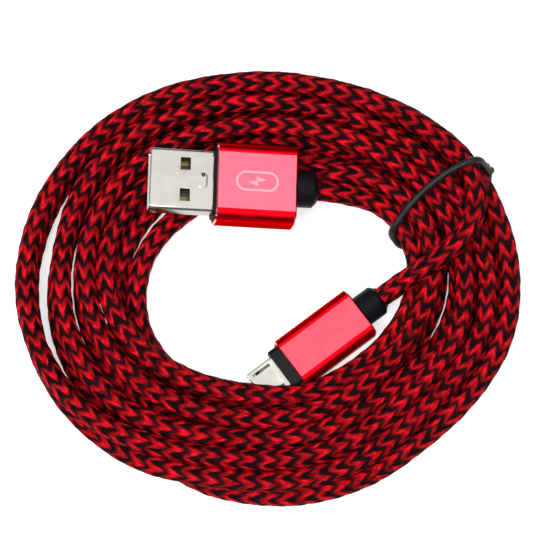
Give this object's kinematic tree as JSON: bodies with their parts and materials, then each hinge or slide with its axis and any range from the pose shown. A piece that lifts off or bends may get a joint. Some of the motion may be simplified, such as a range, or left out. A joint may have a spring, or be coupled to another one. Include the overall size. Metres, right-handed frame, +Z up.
{
  "type": "charging cable",
  "caption": "Braided charging cable wound into a flat oval coil with a wire tie, a wide host plug at one end and a small device plug at the other.",
  "frame": {"origin": "on the table, under the middle of the box that holds the two plugs", "axes": "+Z up from the table, +X to the right and +Y to the back of the coil as it lies, with the host plug at the back left"},
  "size_m": [0.0968, 0.0843, 0.015],
  "materials": {
    "braid": "woven nylon braid, red and black",
    "tie_sleeve": "satin black coating over a soft wire",
    "bright_nickel": "bright nickel plating",
    "gold_contact": "thin gold plating",
    "spring_steel": "polished spring steel",
    "crimp_steel": "plain stamped steel",
    "red_anodised": "satin red anodising, fine blasted faces and bright cut edges",
    "black_moulding": "fine matt moulding",
    "insulator": "smooth glass filled plastic",
    "jacket": "soft inner jacket",
    "wire_red": "smooth insulation",
    "wire_white": "smooth insulation",
    "wire_green": "smooth insulation",
    "wire_black": "smooth insulation"
  },
  "bodies": {
    "root": {"cord_coil": "braid", "cord_lead_host": "braid", "cord_lead_device": "braid", "wire_tie": "tie_sleeve", "host_shell": "bright_nickel", "host_tongue": "insulator", "host_core": "black_moulding", "host_sleeve": "red_anodised", "host_boot": "black_moulding", "host_jacket": "jacket", "host_crimp": "crimp_steel", "host_contact_1": "gold_contact", "host_contact_2": "gold_contact", "host_contact_3": "gold_contact", "host_contact_4": "gold_contact", "host_wire_1": "wire_red", "host_wire_2": "wire_white", "host_wire_3": "wire_green", "host_wire_4": "wire_black", "device_shell": "bright_nickel", "device_carrier": "insulator", "device_core": "black_moulding", "device_sleeve": "red_anodised", "device_boot": "black_moulding", "device_jacket": "jacket", "device_crimp": "crimp_steel", "device_wire_1": "wire_red", "device_wire_2": "wire_white", "device_wire_3": "wire_green", "device_wire_4": "wire_black"},
    "latch_left": {"device_latch_left": "spring_steel"},
    "latch_right": {"device_latch_right": "spring_steel"},
    "contact_springs": {"device_contact_1": "gold_contact", "device_contact_2": "gold_contact", "device_contact_3": "gold_contact", "device_contact_4": "gold_contact", "device_contact_5": "gold_contact"}
  },
  "joints": [
    {"name": "device_latch_left_flex", "type": "hinge", "parent": "root", "child": "latch_left", "pos_m": [0.00751, -0.01812, 0.0037], "axis": [0.6, -0.8, 0], "range_deg": [0, 3], "stiffness_Nm_per_rad": 0.02},
    {"name": "device_latch_right_flex", "type": "hinge", "parent": "root", "child": "latch_right", "pos_m": [0.00466, -0.01432, 0.0037], "axis": [0.6, -0.8, 0], "range_deg": [0, 3], "stiffness_Nm_per_rad": 0.02},
    {"name": "device_contacts_flex", "type": "hinge", "parent": "root", "child": "contact_springs", "pos_m": [0.00505, -0.017, 0.0032], "axis": [0.6, -0.8, 0], "range_deg": [0, 1.8], "stiffness_Nm_per_rad": 0.02}
  ]
}
